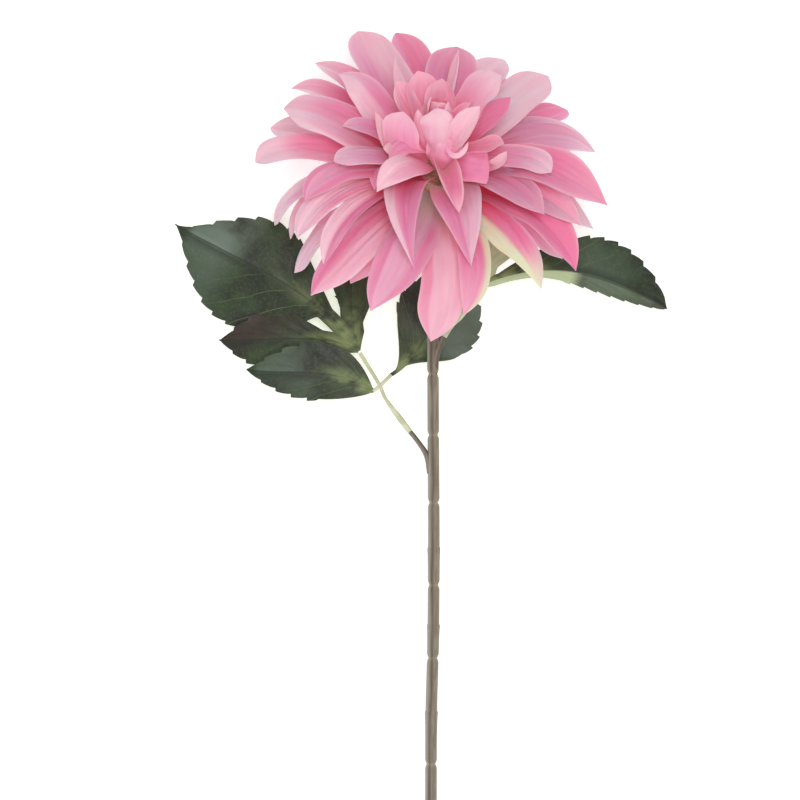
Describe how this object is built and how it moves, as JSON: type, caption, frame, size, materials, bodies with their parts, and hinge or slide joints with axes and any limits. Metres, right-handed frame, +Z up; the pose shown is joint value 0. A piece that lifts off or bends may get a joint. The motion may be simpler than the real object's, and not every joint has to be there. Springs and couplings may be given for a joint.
{
  "type": "cut dahlia flower",
  "caption": "Cut dahlia stem lying on its side, with a large open pink bloom of layered pointed petals, a ringed straight stem and dark-green toothed compound leaves.",
  "frame": {"origin": "on the surface that the stem lies on, under the middle of its bounding box", "axes": "+Z up from the surface, +Y along the stem from the cut end towards the bloom, +X to the right as seen from above with the bloom away"},
  "size_m": [0.2511, 0.4015, 0.1312],
  "materials": {
    "petal": "soft matte woven petal",
    "calyx": "matte",
    "stem": "satin moulded",
    "stalk": "satin moulded",
    "leaf": "satin coated leaf cloth"
  },
  "bodies": {
    "root": {"bloom": "petal", "calyx": "calyx", "stem": "stem", "left_leaf_stalk": "stalk", "left_leaf_blade": "leaf", "left_leaf_lower_leaflet": "leaf", "left_leaf_rear_leaflet": "leaf", "right_leaf_stalk": "stalk", "right_leaf_blade": "leaf"}
  },
  "joints": []
}
